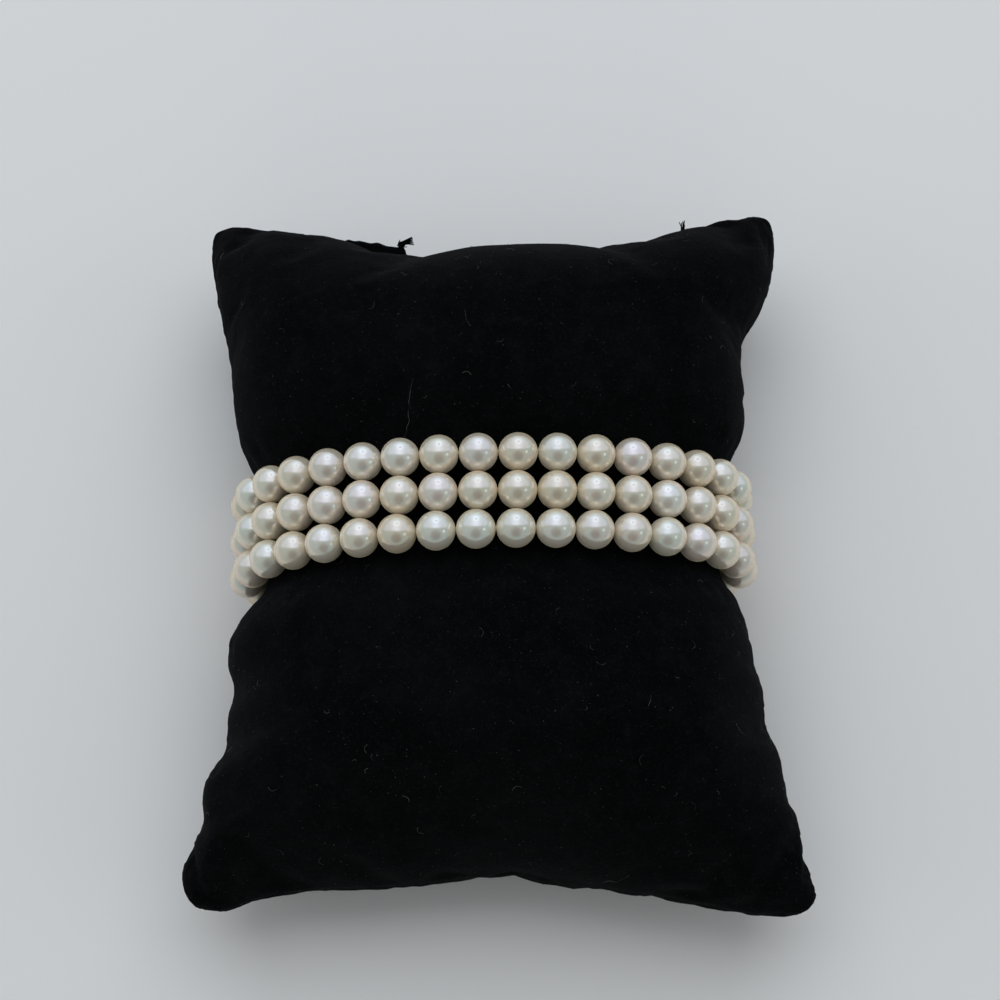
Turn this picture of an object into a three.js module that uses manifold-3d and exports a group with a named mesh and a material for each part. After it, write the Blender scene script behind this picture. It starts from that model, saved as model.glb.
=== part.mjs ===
// A three-strand pearl bracelet, closed round the display pillow that holds it.
// Millimetres. +Z is up, the pillow lies on its back, and +Y runs along the pillow.
// The strands lie side by side across the pillow's waist, with the clasp under it.

import * as THREE from "three";
import { mergeVertices } from "three/addons/utils/BufferGeometryUtils.js";
import Module from "manifold-3d";

const wasm = await Module();
wasm.setup();

// Pearls and thread
const PEARL_DIAMETER = 5.8;
const PEARL_SIDES = 12;
const THREAD_DIAMETER = 1.2;
const KNOT_GAP = 0.1; // between neighbouring pearls of a strand
const STRAND_GAP = 0.15; // between the pearls of neighbouring strands
const STRAND_NAMES = ["strand_upper", "strand_middle", "strand_lower"];
const PEARL_RING_ANGLES = [-64, -34, 0, 34, 64]; // degrees of latitude round the drill hole

// The loop that the pearls' centres follow, seen along the pillow
const LOOP_WIDTH = 77.4;
const LOOP_RISE = 25; // from its widest place up to the crown
const LOOP_DROP = 13; // from its widest place down to the back
const LOOP_TOP_FULLNESS = 2.08; // 2 is an ellipse, more is squarer
const LOOP_BACK_FULLNESS = 2.3;
const LOOP_STEPS = 3600;
const FLOOR_GAP = 0.4; // under the lowest pearls

// How far each strand has slid round the pillow, to the left over the crown
const STRAND_SLIDES = { strand_upper: 1.9, strand_middle: 2.1, strand_lower: 2.5 };

// Clasp: a bar with a row of lugs on each side
const CLASP_WIDTH = 9;
const CLASP_END = 2.7; // from an outer strand's line to the end of the bar
const CLASP_THICKNESS = 3.4;
const CLASP_CORNER = 1.2;
const CLASP_BEVEL = 0.5;
const LUG_RADIUS = 1.3;
const LUG_HOLE_RADIUS = 0.6;
const LUG_THICKNESS = 1;
const LUG_SINK = 0.5; // how deep a lug's rim runs into the bar
const LUG_SIDES = 12;
const THREAD_CLEARANCE = 0.3; // between a thread's end and its lug
const SHORTEST_THREAD = 1; // bare thread between an end pearl and its lug

// Pillow
const PRESS_CLEARANCE = 0.3; // between the pearls and the velvet that they press in
const FAR_LOBE = 46.45; // from the groove to the far end's corners
const NEAR_LOBE = 52;
const OVERHANG = 13.2; // how far the widest corner stands out past the waist
const CROWN = 3.6; // how far a lobe swells above the groove
const LOBE_TOP_FULLNESS = 2.25;
const LOBE_UNDERSIDE_FULLNESS = 3.1;
const UNDERSIDE_SAG = 1.07; // what would sag below the floor is pressed flat on it
const SEAM_PULL = 2; // how late along a lobe its surface starts to follow the end seam
const SECTION_POINTS = 28;
const SECTION_SPREAD = 0.86; // under 1 brings the points towards the side seams

// Sections of each lobe, from the groove to the end.
// along: share of the lobe's length. left, right: shares of OVERHANG.
// swell: 0 pressed by the strands, 1 free. rise, drop: shares of the height over and under the seam.
// lift: how far the seam lies above its own level, as a share of that level.
const FAR_SECTIONS = [
  { along: 0.06, left: 0.32, right: 0.35, swell: 0.72, rise: 0.99, drop: 1, lift: 0 },
  { along: 0.17, left: 0.44, right: 0.45, swell: 0.95, rise: 1, drop: 1, lift: 0 },
  { along: 0.31, left: 0.5, right: 0.445, swell: 1, rise: 1, drop: 1, lift: 0 },
  { along: 0.42, left: 0.52, right: 0.44, swell: 1, rise: 0.99, drop: 1, lift: 0 },
  { along: 0.51, left: 0.56, right: 0.43, swell: 1, rise: 0.965, drop: 1, lift: 0 },
  { along: 0.56, left: 0.6, right: 0.55, swell: 1, rise: 0.94, drop: 1, lift: 0 },
  { along: 0.62, left: 0.65, right: 0.7, swell: 1, rise: 0.9, drop: 1, lift: 0.01 },
  { along: 0.7, left: 0.7, right: 0.84, swell: 1, rise: 0.83, drop: 0.98, lift: 0.02 },
  { along: 0.81, left: 0.765, right: 0.93, swell: 1, rise: 0.68, drop: 0.88, lift: 0.05 },
  { along: 0.9, left: 0.81, right: 0.95, swell: 1, rise: 0.48, drop: 0.66, lift: 0.08 },
  { along: 0.965, left: 0.8, right: 0.94, swell: 1, rise: 0.26, drop: 0.37, lift: 0.1 },
  { along: 1, left: 0.72, right: 0.85, swell: 1, rise: 0, drop: 0, lift: 0.12 },
];
const NEAR_SECTIONS = [
  { along: 0.05, left: 0.43, right: 0.38, swell: 0.72, rise: 0.99, drop: 1, lift: 0 },
  { along: 0.15, left: 0.53, right: 0.34, swell: 0.95, rise: 1, drop: 1, lift: 0 },
  { along: 0.2, left: 0.54, right: 0.38, swell: 0.98, rise: 1, drop: 1, lift: 0 },
  { along: 0.28, left: 0.425, right: 0.415, swell: 1, rise: 1, drop: 1, lift: 0 },
  { along: 0.33, left: 0.445, right: 0.46, swell: 1, rise: 1, drop: 1, lift: 0 },
  { along: 0.38, left: 0.53, right: 0.445, swell: 1, rise: 0.995, drop: 1, lift: 0 },
  { along: 0.455, left: 0.5, right: 0.46, swell: 1, rise: 0.98, drop: 1, lift: 0 },
  { along: 0.5, left: 0.575, right: 0.56, swell: 1, rise: 0.965, drop: 1, lift: 0 },
  { along: 0.55, left: 0.735, right: 0.615, swell: 1, rise: 0.94, drop: 1, lift: 0 },
  { along: 0.6, left: 0.81, right: 0.605, swell: 1, rise: 0.905, drop: 1, lift: 0 },
  { along: 0.68, left: 0.745, right: 0.705, swell: 1, rise: 0.83, drop: 0.98, lift: 0.015 },
  { along: 0.74, left: 0.8, right: 0.755, swell: 1, rise: 0.77, drop: 0.95, lift: 0.03 },
  { along: 0.8, left: 0.94, right: 0.76, swell: 1, rise: 0.68, drop: 0.88, lift: 0.04 },
  { along: 0.86, left: 1, right: 0.865, swell: 1, rise: 0.57, drop: 0.79, lift: 0.045 },
  { along: 0.92, left: 0.98, right: 0.95, swell: 1, rise: 0.42, drop: 0.6, lift: 0.05 },
  { along: 0.965, left: 0.9, right: 0.905, swell: 1, rise: 0.26, drop: 0.38, lift: 0.06 },
  { along: 1, left: 0.7, right: 0.845, swell: 1, rise: 0, drop: 0, lift: 0.06 },
];

// The two end seams, from the left corner to the right one.
// across: share of the half width. far, near: shares of each lobe's length.
const END_SEAMS = [
  { across: -1, far: 0.975, near: 0.938 },
  { across: -0.9, far: 1, near: 0.955 },
  { across: -0.76, far: 0.966, near: 0.89 },
  { across: -0.55, far: 0.916, near: 0.893 },
  { across: -0.41, far: 0.866, near: 0.882 },
  { across: -0.28, far: 0.81, near: 0.876 },
  { across: -0.14, far: 0.85, near: 0.862 },
  { across: 0, far: 0.855, near: 0.85 },
  { across: 0.12, far: 0.85, near: 0.866 },
  { across: 0.25, far: 0.84, near: 0.912 },
  { across: 0.41, far: 0.83, near: 0.92 },
  { across: 0.55, far: 0.864, near: 0.935 },
  { across: 0.69, far: 0.936, near: 0.97 },
  { across: 0.85, far: 0.963, near: 1 },
  { across: 0.93, far: 0.99, near: 1 },
  { across: 1, far: 0.976, near: 0.985 },
];

// Soft dents in the top, where the stuffing gives.
// along: share of the lobe's length. across: share of the half width.
// long, wide: reach as shares of the same. depth: share of the height over the seam.
const DENTS = [
  { lobe: "far", along: 0.2, across: 0.74, long: 0.34, wide: 0.1, depth: 0.06 },
  { lobe: "far", along: 0.86, across: -0.3, long: 0.12, wide: 0.14, depth: 0.1 },
  { lobe: "near", along: 0.3, across: -0.8, long: 0.2, wide: 0.12, depth: 0.05 },
  { lobe: "near", along: 0.72, across: 0.78, long: 0.16, wide: 0.14, depth: 0.05 },
];

// Worked out from the sizes above
const PEARL_RADIUS = PEARL_DIAMETER / 2;
const THREAD_RADIUS = THREAD_DIAMETER / 2;
const PEARL_PITCH = PEARL_DIAMETER + KNOT_GAP;
const STRAND_PITCH = PEARL_DIAMETER + STRAND_GAP;
const STRAND_LAST = STRAND_NAMES.length - 1;
const LOOP_LEVEL = FLOOR_GAP + PEARL_RADIUS + LOOP_DROP;
const BACK_LEVEL = FLOOR_GAP + PEARL_RADIUS;
const PRESS = PEARL_RADIUS + PRESS_CLEARANCE;
const GROOVE_HALF = (STRAND_LAST * STRAND_PITCH) / 2 + PRESS;
const WAIST_HALF = LOOP_WIDTH / 2 - PRESS;
const LOBE_RISE = LOOP_RISE - PRESS + CROWN;
const CLASP_LENGTH = STRAND_LAST * STRAND_PITCH + 2 * CLASP_END;
const LUG_CENTRE = CLASP_WIDTH / 2 + LUG_RADIUS - LUG_SINK;
const LUG_TIP = LUG_CENTRE + LUG_RADIUS;

const pearlMaterial = new THREE.MeshStandardMaterial({
  color: 0xe9dfd0,
  roughness: 0.18,
  metalness: 0,
});
const claspMaterial = new THREE.MeshStandardMaterial({
  color: 0xd9d6cf,
  roughness: 0.28,
  metalness: 1,
});
const velvetMaterial = new THREE.MeshStandardMaterial({
  color: 0x0d0d0f,
  roughness: 0.95,
  metalness: 0,
});

const degrees = (angle) => (angle * Math.PI) / 180;
const signedPower = (value, power) => Math.sign(value) * Math.abs(value) ** power;
const mix = (a, b, share) => a + (b - a) * share;

// A point of the loop, or of the line that runs a fixed distance inside it.
// angle 0 is the right side and 90 degrees the crown.
function loopPoint(angle, inset = 0) {
  const across = Math.cos(angle);
  const up = Math.sin(angle);
  const fullness = up >= 0 ? LOOP_TOP_FULLNESS : LOOP_BACK_FULLNESS;
  const height = up >= 0 ? LOOP_RISE : LOOP_DROP;
  const normal = new THREE.Vector2(
    signedPower(across, 2 - 2 / fullness) / (LOOP_WIDTH / 2),
    signedPower(up, 2 - 2 / fullness) / height,
  ).normalize();
  return new THREE.Vector2(
    (LOOP_WIDTH / 2) * signedPower(across, 2 / fullness) - inset * normal.x,
    LOOP_LEVEL + height * signedPower(up, 2 / fullness) - inset * normal.y,
  );
}

// The loop from the crown round to the back, as close points: side 1 goes right, -1 left
function loopPath(side) {
  return Array.from({ length: LOOP_STEPS + 1 }, (_, i) =>
    loopPoint(Math.PI / 2 - side * Math.PI * (i / LOOP_STEPS)),
  );
}

// The point of a path that lies a given length along it
function pointAlong(path, length) {
  let left = length;
  for (let i = 1; i < path.length; i++) {
    const step = path[i].distanceTo(path[i - 1]);
    if (step >= left) {
      return { point: path[i - 1].clone().lerp(path[i], left / step), next: i };
    }
    left -= step;
  }
  throw new Error("the path is too short");
}

// Pearl centres from a start place down one side of the loop to the clasp, one pitch apart in
// a straight line. The last one leaves room for the thread that reaches the clasp's lug.
function centresDown(path, start, lug) {
  const centres = [start.point];
  const room = PEARL_RADIUS + SHORTEST_THREAD + THREAD_CLEARANCE;
  for (let i = start.next; i < path.length; i++) {
    const last = centres[centres.length - 1];
    if (path[i].distanceTo(last) < PEARL_PITCH) continue;
    if (i > path.length / 2 && path[i].distanceTo(lug) < room) break;
    centres.push(path[i]);
  }
  return centres;
}

// The line of a strand's pearls, from the clasp's left lugs over the crown to its right ones
function strandCentres(name) {
  const slide = STRAND_SLIDES[name];
  const left = loopPath(-1);
  const right = loopPath(1);
  const start = pointAlong(left, slide);
  const back = [...left.slice(0, start.next)].reverse();
  const overCrown = [start.point, ...back, ...right.slice(1)];
  const down = centresDown(left, start, claspPoint(-LUG_TIP));
  const over = centresDown(overCrown, { point: start.point, next: 1 }, claspPoint(LUG_TIP));
  return [...down.reverse(), ...over.slice(1)];
}

// The clasp follows the strands round the pillow, so it has slid to the right under it
function claspMiddle() {
  const slides = Object.values(STRAND_SLIDES);
  return slides.reduce((sum, slide) => sum + slide, 0) / slides.length;
}

function claspPoint(across) {
  return new THREE.Vector2(claspMiddle() + across, BACK_LEVEL);
}

// A ring of points round an axis that lies in the loop's plane
function ringAround(centre, axis, radius, y) {
  const out = new THREE.Vector2(-axis.y, axis.x);
  return Array.from({ length: PEARL_SIDES }, (_, i) => {
    const turn = (2 * Math.PI * i) / PEARL_SIDES;
    const reach = radius * Math.cos(turn);
    return new THREE.Vector3(
      centre.x + out.x * reach,
      y + radius * Math.sin(turn),
      centre.y + out.y * reach,
    );
  });
}

// A closed geometry from rings of as many points each. Its ends are closed by a fan,
// unless the end rings are themselves pressed flat into a seam.
function geometryFromRings(rings, fans) {
  const points = rings.flat();
  const sides = rings[0].length;
  const faces = [];
  for (let ring = 0; ring < rings.length - 1; ring++) {
    for (let side = 0; side < sides; side++) {
      const a = ring * sides + side;
      const b = ring * sides + ((side + 1) % sides);
      faces.push(a, b, a + sides);
      faces.push(b, b + sides, a + sides);
    }
  }
  if (fans) {
    const last = (rings.length - 1) * sides;
    const tips = [rings[0], rings[rings.length - 1]].map((ring) =>
      ring.reduce((sum, point) => sum.add(point), new THREE.Vector3()).divideScalar(sides),
    );
    points.push(...tips);
    for (let side = 0; side < sides; side++) {
      const next = (side + 1) % sides;
      faces.push(next, side, points.length - 2);
      faces.push(last + side, last + next, points.length - 1);
    }
  }
  const geometry = new THREE.BufferGeometry();
  geometry.setAttribute("position", new THREE.Float32BufferAttribute(points.flatMap((p) => p.toArray()), 3));
  geometry.setIndex(faces);
  const merged = mergeVertices(geometry, 1e-4);
  return volumeOf(merged) < 0 ? turnedInsideOut(merged) : merged;
}

function volumeOf(geometry) {
  const position = geometry.getAttribute("position");
  const corners = [new THREE.Vector3(), new THREE.Vector3(), new THREE.Vector3()];
  let volume = 0;
  for (let i = 0; i < geometry.index.count; i += 3) {
    corners.forEach((corner, k) => corner.fromBufferAttribute(position, geometry.index.getX(i + k)));
    volume += corners[0].dot(corners[1].clone().cross(corners[2])) / 6;
  }
  return volume;
}

function turnedInsideOut(geometry) {
  const faces = Array.from(geometry.index.array);
  for (let i = 0; i < faces.length; i += 3) {
    [faces[i], faces[i + 1]] = [faces[i + 1], faces[i]];
  }
  geometry.setIndex(faces);
  return geometry;
}

// Round pearls on one thread, from lug to lug
function strandGeometry(name, y) {
  const centres = strandCentres(name);
  const ends = [claspPoint(-LUG_TIP - THREAD_CLEARANCE), claspPoint(LUG_TIP + THREAD_CLEARANCE)];
  const line = [ends[0], ...centres, ends[1]];
  const rings = [];
  for (let i = 1; i < line.length - 1; i++) {
    const into = line[i].clone().sub(line[i - 1]).normalize();
    const onward = line[i + 1].clone().sub(line[i]).normalize();
    const axis = into.clone().add(onward).normalize();
    if (i === 1) {
      rings.push(ringAround(line[0], into, THREAD_RADIUS, y));
      const mouth = line[1].clone().addScaledVector(into, -PEARL_PITCH / 2);
      rings.push(ringAround(mouth, into, THREAD_RADIUS, y));
    }
    for (const angle of PEARL_RING_ANGLES) {
      const latitude = degrees(angle);
      const centre = line[i].clone().addScaledVector(axis, PEARL_RADIUS * Math.sin(latitude));
      rings.push(ringAround(centre, axis, PEARL_RADIUS * Math.cos(latitude), y));
    }
    const knot = line[i].clone().addScaledVector(onward, PEARL_PITCH / 2);
    rings.push(ringAround(knot, onward, THREAD_RADIUS, y));
    if (i === line.length - 2) {
      rings.push(ringAround(line[i + 1], onward, THREAD_RADIUS, y));
    }
  }
  return geometryFromRings(rings, true);
}

function solidFrom(geometry) {
  geometry.deleteAttribute("normal");
  geometry.deleteAttribute("uv");
  const merged = mergeVertices(geometry, 1e-4);
  return new wasm.Manifold(
    new wasm.Mesh({
      numProp: 3,
      vertProperties: new Float32Array(merged.getAttribute("position").array),
      triVerts: new Uint32Array(merged.index.array),
    }),
  );
}

function geometryFrom(solid) {
  const mesh = solid.getMesh();
  const geometry = new THREE.BufferGeometry();
  geometry.setAttribute("position", new THREE.Float32BufferAttribute(mesh.vertProperties, 3));
  geometry.setIndex(Array.from(mesh.triVerts));
  return geometry;
}

// The bar lies flat, with its thickness centred on the plane z = 0
function claspBar() {
  const halfWidth = CLASP_WIDTH / 2 - CLASP_BEVEL;
  const halfLength = CLASP_LENGTH / 2 - CLASP_BEVEL;
  const outline = new THREE.Shape();
  outline.moveTo(-halfWidth + CLASP_CORNER, -halfLength);
  outline.lineTo(halfWidth - CLASP_CORNER, -halfLength);
  outline.quadraticCurveTo(halfWidth, -halfLength, halfWidth, -halfLength + CLASP_CORNER);
  outline.lineTo(halfWidth, halfLength - CLASP_CORNER);
  outline.quadraticCurveTo(halfWidth, halfLength, halfWidth - CLASP_CORNER, halfLength);
  outline.lineTo(-halfWidth + CLASP_CORNER, halfLength);
  outline.quadraticCurveTo(-halfWidth, halfLength, -halfWidth, halfLength - CLASP_CORNER);
  outline.lineTo(-halfWidth, -halfLength + CLASP_CORNER);
  outline.quadraticCurveTo(-halfWidth, -halfLength, -halfWidth + CLASP_CORNER, -halfLength);
  const depth = CLASP_THICKNESS - 2 * CLASP_BEVEL;
  const bar = new THREE.ExtrudeGeometry(outline, {
    depth,
    bevelSize: CLASP_BEVEL,
    bevelThickness: CLASP_BEVEL,
    bevelSegments: 2,
    curveSegments: 3,
  });
  return bar.translate(0, 0, -depth / 2);
}

function claspLug(x, y) {
  const rim = new THREE.Shape();
  rim.absarc(0, 0, LUG_RADIUS, 0, 2 * Math.PI, false);
  const hole = new THREE.Path();
  hole.absarc(0, 0, LUG_HOLE_RADIUS, 0, 2 * Math.PI, true);
  rim.holes.push(hole);
  const lug = new THREE.ExtrudeGeometry(rim, {
    depth: LUG_THICKNESS,
    bevelEnabled: false,
    curveSegments: LUG_SIDES,
  });
  return lug.translate(x, y, -LUG_THICKNESS / 2);
}

const strandPlace = (index) => (STRAND_LAST / 2 - index) * STRAND_PITCH;

function claspGeometry() {
  let clasp = solidFrom(claspBar());
  for (const side of [-1, 1]) {
    STRAND_NAMES.forEach((name, index) => {
      clasp = clasp.add(solidFrom(claspLug(side * LUG_CENTRE, strandPlace(index))));
    });
  }
  return geometryFrom(clasp);
}

// A value between the rows of a table
function between(table, key, value, column) {
  const upper = Math.max(1, table.findIndex((row) => row[key] >= value));
  const [low, high] = [table[upper - 1], table[upper]];
  const share = THREE.MathUtils.clamp((value - low[key]) / (high[key] - low[key]), 0, 1);
  return mix(low[column], high[column], share);
}

function dentDepth(lobe, along, across) {
  return DENTS.filter((dent) => dent.lobe === lobe).reduce((sum, dent) => {
    const far = ((along - dent.along) / dent.long) ** 2 + ((across - dent.across) / dent.wide) ** 2;
    return sum + dent.depth * Math.exp(-far);
  }, 0);
}

const crownAt = (across, fullness) => Math.max(0, 1 - Math.abs(across) ** fullness) ** (1 / fullness);

// One section of a lobe: pressed in by the strands near the groove, and free past it
function lobeSection(lobe, direction, length, row) {
  const seam = LOOP_LEVEL * (1 + row.lift);
  const fit = row.along ** SEAM_PULL;
  return Array.from({ length: SECTION_POINTS }, (_, i) => {
    const angle = (2 * Math.PI * i) / SECTION_POINTS;
    const across = signedPower(Math.round(Math.cos(angle) * 1e9) / 1e9, SECTION_SPREAD);
    const standOut = OVERHANG * (across > 0 ? row.right : row.left);
    const above = i <= SECTION_POINTS / 2;
    const dent = 1 - dentDepth(lobe, row.along, across);
    const top = seam + LOBE_RISE * row.rise * dent * crownAt(across, LOBE_TOP_FULLNESS);
    const low = seam - seam * UNDERSIDE_SAG * row.drop * crownAt(across, LOBE_UNDERSIDE_FULLNESS);
    const pressed = loopPoint(angle, PRESS);
    const end = mix(1, between(END_SEAMS, "across", across, lobe), fit);
    return new THREE.Vector3(
      mix(pressed.x, across * (WAIST_HALF + standOut), row.swell),
      direction * (GROOVE_HALF + length * row.along * end),
      mix(pressed.y, above ? top : Math.max(0, low), row.swell),
    );
  });
}

function grooveSection(y) {
  return Array.from({ length: SECTION_POINTS }, (_, i) => {
    const pressed = loopPoint((2 * Math.PI * i) / SECTION_POINTS, PRESS);
    return new THREE.Vector3(pressed.x, y, pressed.y);
  });
}

function pillowGeometry() {
  const near = NEAR_SECTIONS.map((row) => lobeSection("near", -1, NEAR_LOBE, row)).reverse();
  const groove = [-GROOVE_HALF, 0, GROOVE_HALF].map(grooveSection);
  const far = FAR_SECTIONS.map((row) => lobeSection("far", 1, FAR_LOBE, row));
  return geometryFromRings([...near, ...groove, ...far], false);
}

function namedMesh(name, geometry, material) {
  geometry.computeVertexNormals();
  const mesh = new THREE.Mesh(geometry, material);
  mesh.name = name;
  return mesh;
}

const bracelet = new THREE.Group();
STRAND_NAMES.forEach((name, index) => {
  bracelet.add(namedMesh(name, strandGeometry(name, strandPlace(index)), pearlMaterial));
});
const clasp = namedMesh("clasp", claspGeometry(), claspMaterial);
clasp.position.set(claspMiddle(), 0, BACK_LEVEL);
bracelet.add(clasp);

const part = new THREE.Group();
part.add(bracelet);
part.add(namedMesh("display_pillow", pillowGeometry(), velvetMaterial));

// The origin is under the middle of the whole, on the surface that it lies on
const middle = new THREE.Box3().setFromObject(part).getCenter(new THREE.Vector3());
part.position.set(-middle.x, -middle.y, 0);

export default part;
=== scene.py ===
# A three-strand pearl bracelet closed round a black velvet display pillow, which lies on its back.
# Lengths are metres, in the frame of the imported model: +X across the pillow, +Y along it, +Z up.

import math
from collections import namedtuple

import bmesh
import bpy
import numpy as np
from mathutils import Matrix, Vector, noise
from mathutils.kdtree import KDTree


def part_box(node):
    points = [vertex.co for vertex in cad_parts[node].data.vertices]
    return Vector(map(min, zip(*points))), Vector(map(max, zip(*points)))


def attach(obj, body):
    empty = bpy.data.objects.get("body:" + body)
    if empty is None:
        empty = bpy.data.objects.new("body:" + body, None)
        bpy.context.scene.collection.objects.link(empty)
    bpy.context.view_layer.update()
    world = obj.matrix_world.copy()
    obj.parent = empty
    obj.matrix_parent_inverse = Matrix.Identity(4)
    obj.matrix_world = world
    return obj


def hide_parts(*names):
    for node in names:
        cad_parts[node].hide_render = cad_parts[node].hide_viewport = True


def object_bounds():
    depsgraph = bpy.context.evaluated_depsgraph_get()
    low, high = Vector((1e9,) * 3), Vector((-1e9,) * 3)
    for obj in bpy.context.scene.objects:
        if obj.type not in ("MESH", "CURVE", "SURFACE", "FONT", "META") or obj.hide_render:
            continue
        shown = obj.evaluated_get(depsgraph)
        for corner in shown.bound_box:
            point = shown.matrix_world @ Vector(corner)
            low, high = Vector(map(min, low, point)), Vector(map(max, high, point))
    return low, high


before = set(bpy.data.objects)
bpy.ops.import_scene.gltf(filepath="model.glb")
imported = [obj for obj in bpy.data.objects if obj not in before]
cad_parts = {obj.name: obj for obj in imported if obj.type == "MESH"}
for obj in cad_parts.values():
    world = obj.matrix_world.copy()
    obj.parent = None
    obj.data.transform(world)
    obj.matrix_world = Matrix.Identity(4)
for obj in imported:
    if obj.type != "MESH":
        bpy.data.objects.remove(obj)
cad_low, cad_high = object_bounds()

MM = 0.001
STRANDS = ("strand_upper", "strand_middle", "strand_lower")
SAME_PLACE = 0.001 * MM

# Pearls: a little larger than the solids', and none quite round
PEARL_SIDES = 44
PEARL_RINGS = 26
PEARL_SNUG = 1.008
PEARL_EDGE_SHARE = 0.002
PEARL_OFF_ROUND = 0.007
PEARL_SEED = 11
PEARL_SEED_STEP = 7

# Silk: one thread through each strand, a knot between neighbouring pearls, a bound loop at each lug
THREAD_RADIUS = 0.3 * MM
THREAD_SIDES = 10
KNOT_RADIUS = 0.4 * MM
BOUND_LOOP_RADIUS = 0.78 * MM
BOUND_WIRE_RADIUS = 0.21 * MM
BOUND_TURNS = 40
BOUND_RIDGE = 0.18
LUG_RADIUS = 1.3 * MM
LOOP_PAST_LUG = 0.35 * MM

# Pillow: simulated cloth behaves best at room size, so the velvet is simulated enlarged
FORM_LEVELS = 2
CLOTH_SCALE = 10
CLOTH_FRAMES = 20
CLOTH_QUALITY = 6
CLOTH_STIFFNESS = 0.4
CLOTH_PRESSURE = 4
SPARE_CLOTH = 0.03
MOST_SWELL = 1.6 * MM
START_SINK = 0.5 * MM
HELD_AT_SEAM = 2.4 * MM
HELD_BY_STRANDS = 4 * MM
HELD_FAST = 0.6

# Folds of the velvet: a sunk seam, puckers along it, gathers by the strands, and a slow sway
SEAM_STEPS = 600
SEAM_WINDOW = 3
SEAM_SPREAD = 2
SEAM_WIDTH = 0.9 * MM
SEAM_DEPTH = 0.45 * MM
PUCKER_REACH = 6.5 * MM
PUCKER_HEIGHT = 0.42 * MM
PUCKER_LENGTH = 5.2 * MM
PUCKER_SINK = 0.6
GATHER_REACH = 9 * MM
GATHER_HEIGHT = 0.5 * MM
GATHER_WIDTH = 5.5 * MM
GATHER_LENGTH = 26 * MM
GATHER_START = 2 * MM
SWAY_HEIGHT = 0.45 * MM
SWAY_LENGTH = 24 * MM
SWAY_START = 6 * MM
SWAY_PLACE = Vector((7, 3, 1))

# Far seam: a flap of seam allowance that stands out, as (place across, reach past the seam)
FLAP_REACH = (
    (-26.0 * MM, 0.0 * MM),
    (-22.5 * MM, 2.2 * MM),
    (-19.0 * MM, 3.2 * MM),
    (-15.5 * MM, 3.9 * MM),
    (-13.1 * MM, 4.1 * MM),
    (-12.5 * MM, 0.2 * MM),
)
FLAP_LEAN = math.radians(42)
FLAP_THICKNESS = 0.55 * MM
FLAP_ROOT = 1.6 * MM
FLAP_ROWS = 24
FLAP_RIPPLE = 0.12 * MM
FLAP_RIPPLE_LENGTH = 1.7 * MM
FAR_SEAM_SHARE = 0.75

# Frayed ends along the seam: where each tuft stands, which way its threads run, and how long
Tuft = namedtuple("Tuft", "across past_seam heading length threads spread")
TUFTS = (
    Tuft(-14.0 * MM, 4.3 * MM, 14, 2.4 * MM, 22, 7),
    Tuft(-14.0 * MM, 3.6 * MM, 48, 1.5 * MM, 16, 16),
    Tuft(33.0 * MM, 0.4 * MM, 92, 2.1 * MM, 10, 7),
)
TUFT_THREAD_RADIUS = 0.13 * MM
TUFT_TAPER = (1.2, 0.5)
TUFT_FOOT_RADIUS = 0.16 * MM
TUFT_LENGTH_SHARES = (0.7, 1.05)
TUFT_BEND = 20
TUFT_RISE = 0.2
TUFT_STEPS = 6
TUFT_SEED = 41

# Lint: strewn specks and fibres, and the pale fibres that stand out, each from its start
SPECKS_PER_AREA = 2.2e5
SPECK_RADIUS = 0.055 * MM
FIBRES_PER_AREA = 8e3
FIBRE_REACH = 0.8 * MM
FIBRE_RADIUS = 0.026 * MM
LINT_CLEARANCE = 2 * MM
LINT_SIDES = 3
FINE_THREAD_SIDES = 5
LINT_SEED = 23
PALE_FIBRE_TAPER = (1.6, 1.0)
PALE_FIBRE_STEPS = 9
PALE_FIBRE_KINK = 45
PALE_FIBRE_KINKS_PER_STEP = 0.6
PALE_FIBRE_DROP = 10 * MM
Fibre = namedtuple("Fibre", "x y heading length bend")
PALE_FIBRES = (
    Fibre(-11.1 * MM, 20.9 * MM, -112, 4.4 * MM, 34),
    Fibre(-12.0 * MM, 16.6 * MM, -84, 4.6 * MM, -44),
    Fibre(-9.8 * MM, 12.2 * MM, 4, 2.8 * MM, -12),
    Fibre(-3.7 * MM, 21.2 * MM, 40, 1.6 * MM, -120),
    Fibre(3.1 * MM, 19.4 * MM, -70, 0.9 * MM, 30),
    Fibre(-13.0 * MM, 40.0 * MM, -60, 1.5 * MM, 60),
    Fibre(-3.1 * MM, 31.5 * MM, -85, 3.0 * MM, 25),
    Fibre(35.6 * MM, -31.0 * MM, -75, 2.2 * MM, 40),
    Fibre(22.6 * MM, -28.2 * MM, -88, 1.8 * MM, -20),
    Fibre(29.2 * MM, -20.7 * MM, 20, 1.7 * MM, 150),
    Fibre(15.3 * MM, -52.4 * MM, -12, 4.2 * MM, 30),
)

# Camera: the photograph's place over the crown of the strands
CAMERA_DISTANCE = 327 * MM
CAMERA_ELEVATION = math.radians(71.5)
CAMERA_ROLL = math.radians(1.3)
CAMERA_LENS = 79.45
CAMERA_SENSOR = 36
CROWN_RIGHT_SHIFT = 0.008
CROWN_UP_SHIFT = -0.010

# Soft lights round the object, each aimed at its top, in metres and watts
Softbox = namedtuple("Softbox", "name direction distance width height power tint")
SOFTBOXES = (
    Softbox("overhead", (0, 0.48, 0.88), 0.65, 0.95, 0.75, 2.8, (0.93, 1, 1.06)),
    Softbox("left_fill", (-0.9, -0.1, 0.45), 0.8, 0.5, 0.5, 0.6, (0.93, 0.97, 1)),
    Softbox("right_fill", (0.9, -0.2, 0.5), 0.8, 0.5, 0.5, 0.45, (0.95, 0.98, 1)),
    Softbox("near_fill", (0, -0.9, 0.3), 0.7, 0.6, 0.3, 0.35, (1, 0.95, 0.84)),
)

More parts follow.
